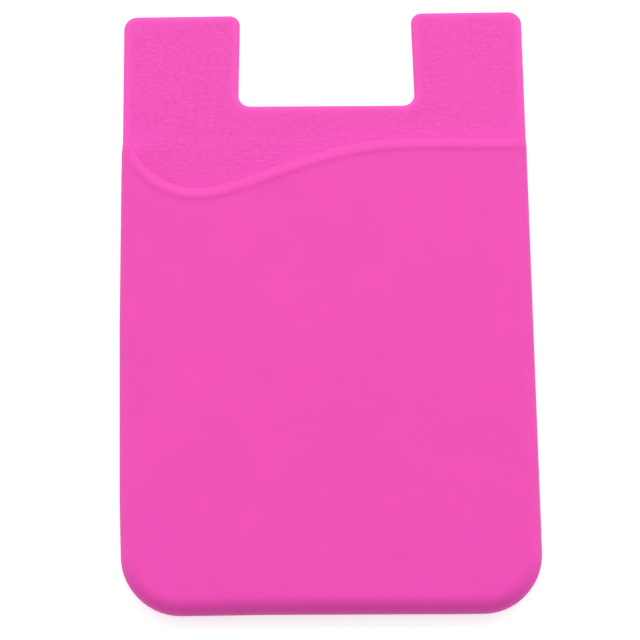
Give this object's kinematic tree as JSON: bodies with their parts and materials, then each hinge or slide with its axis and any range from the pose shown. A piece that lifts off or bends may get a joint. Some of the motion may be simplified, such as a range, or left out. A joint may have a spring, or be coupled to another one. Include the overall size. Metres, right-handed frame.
{
  "type": "stick on phone card holder",
  "caption": "Soft silicone card pocket with a wavy beaded rim, a notched back plate and an adhesive pad under a release liner, stuck on the back of a phone.",
  "frame": {"origin": "middle of the holder's outline, on the underside of the release liner", "axes": "+X across the holder to the side of the rim's crest, +Y up the holder to the tabs, +Z out of the pocket's front"},
  "size_m": [0.0572, 0.086, 0.004],
  "materials": {
    "silicone": "matt pink silicone rubber, with a fine leather grain on the back plate's front face",
    "adhesive": "pale double-sided adhesive sheet",
    "liner_paper": "coated release paper with a satin face"
  },
  "bodies": {
    "root": {"silicone_holder": "silicone", "adhesive_pad": "adhesive", "release_liner": "liner_paper"}
  },
  "joints": []
}
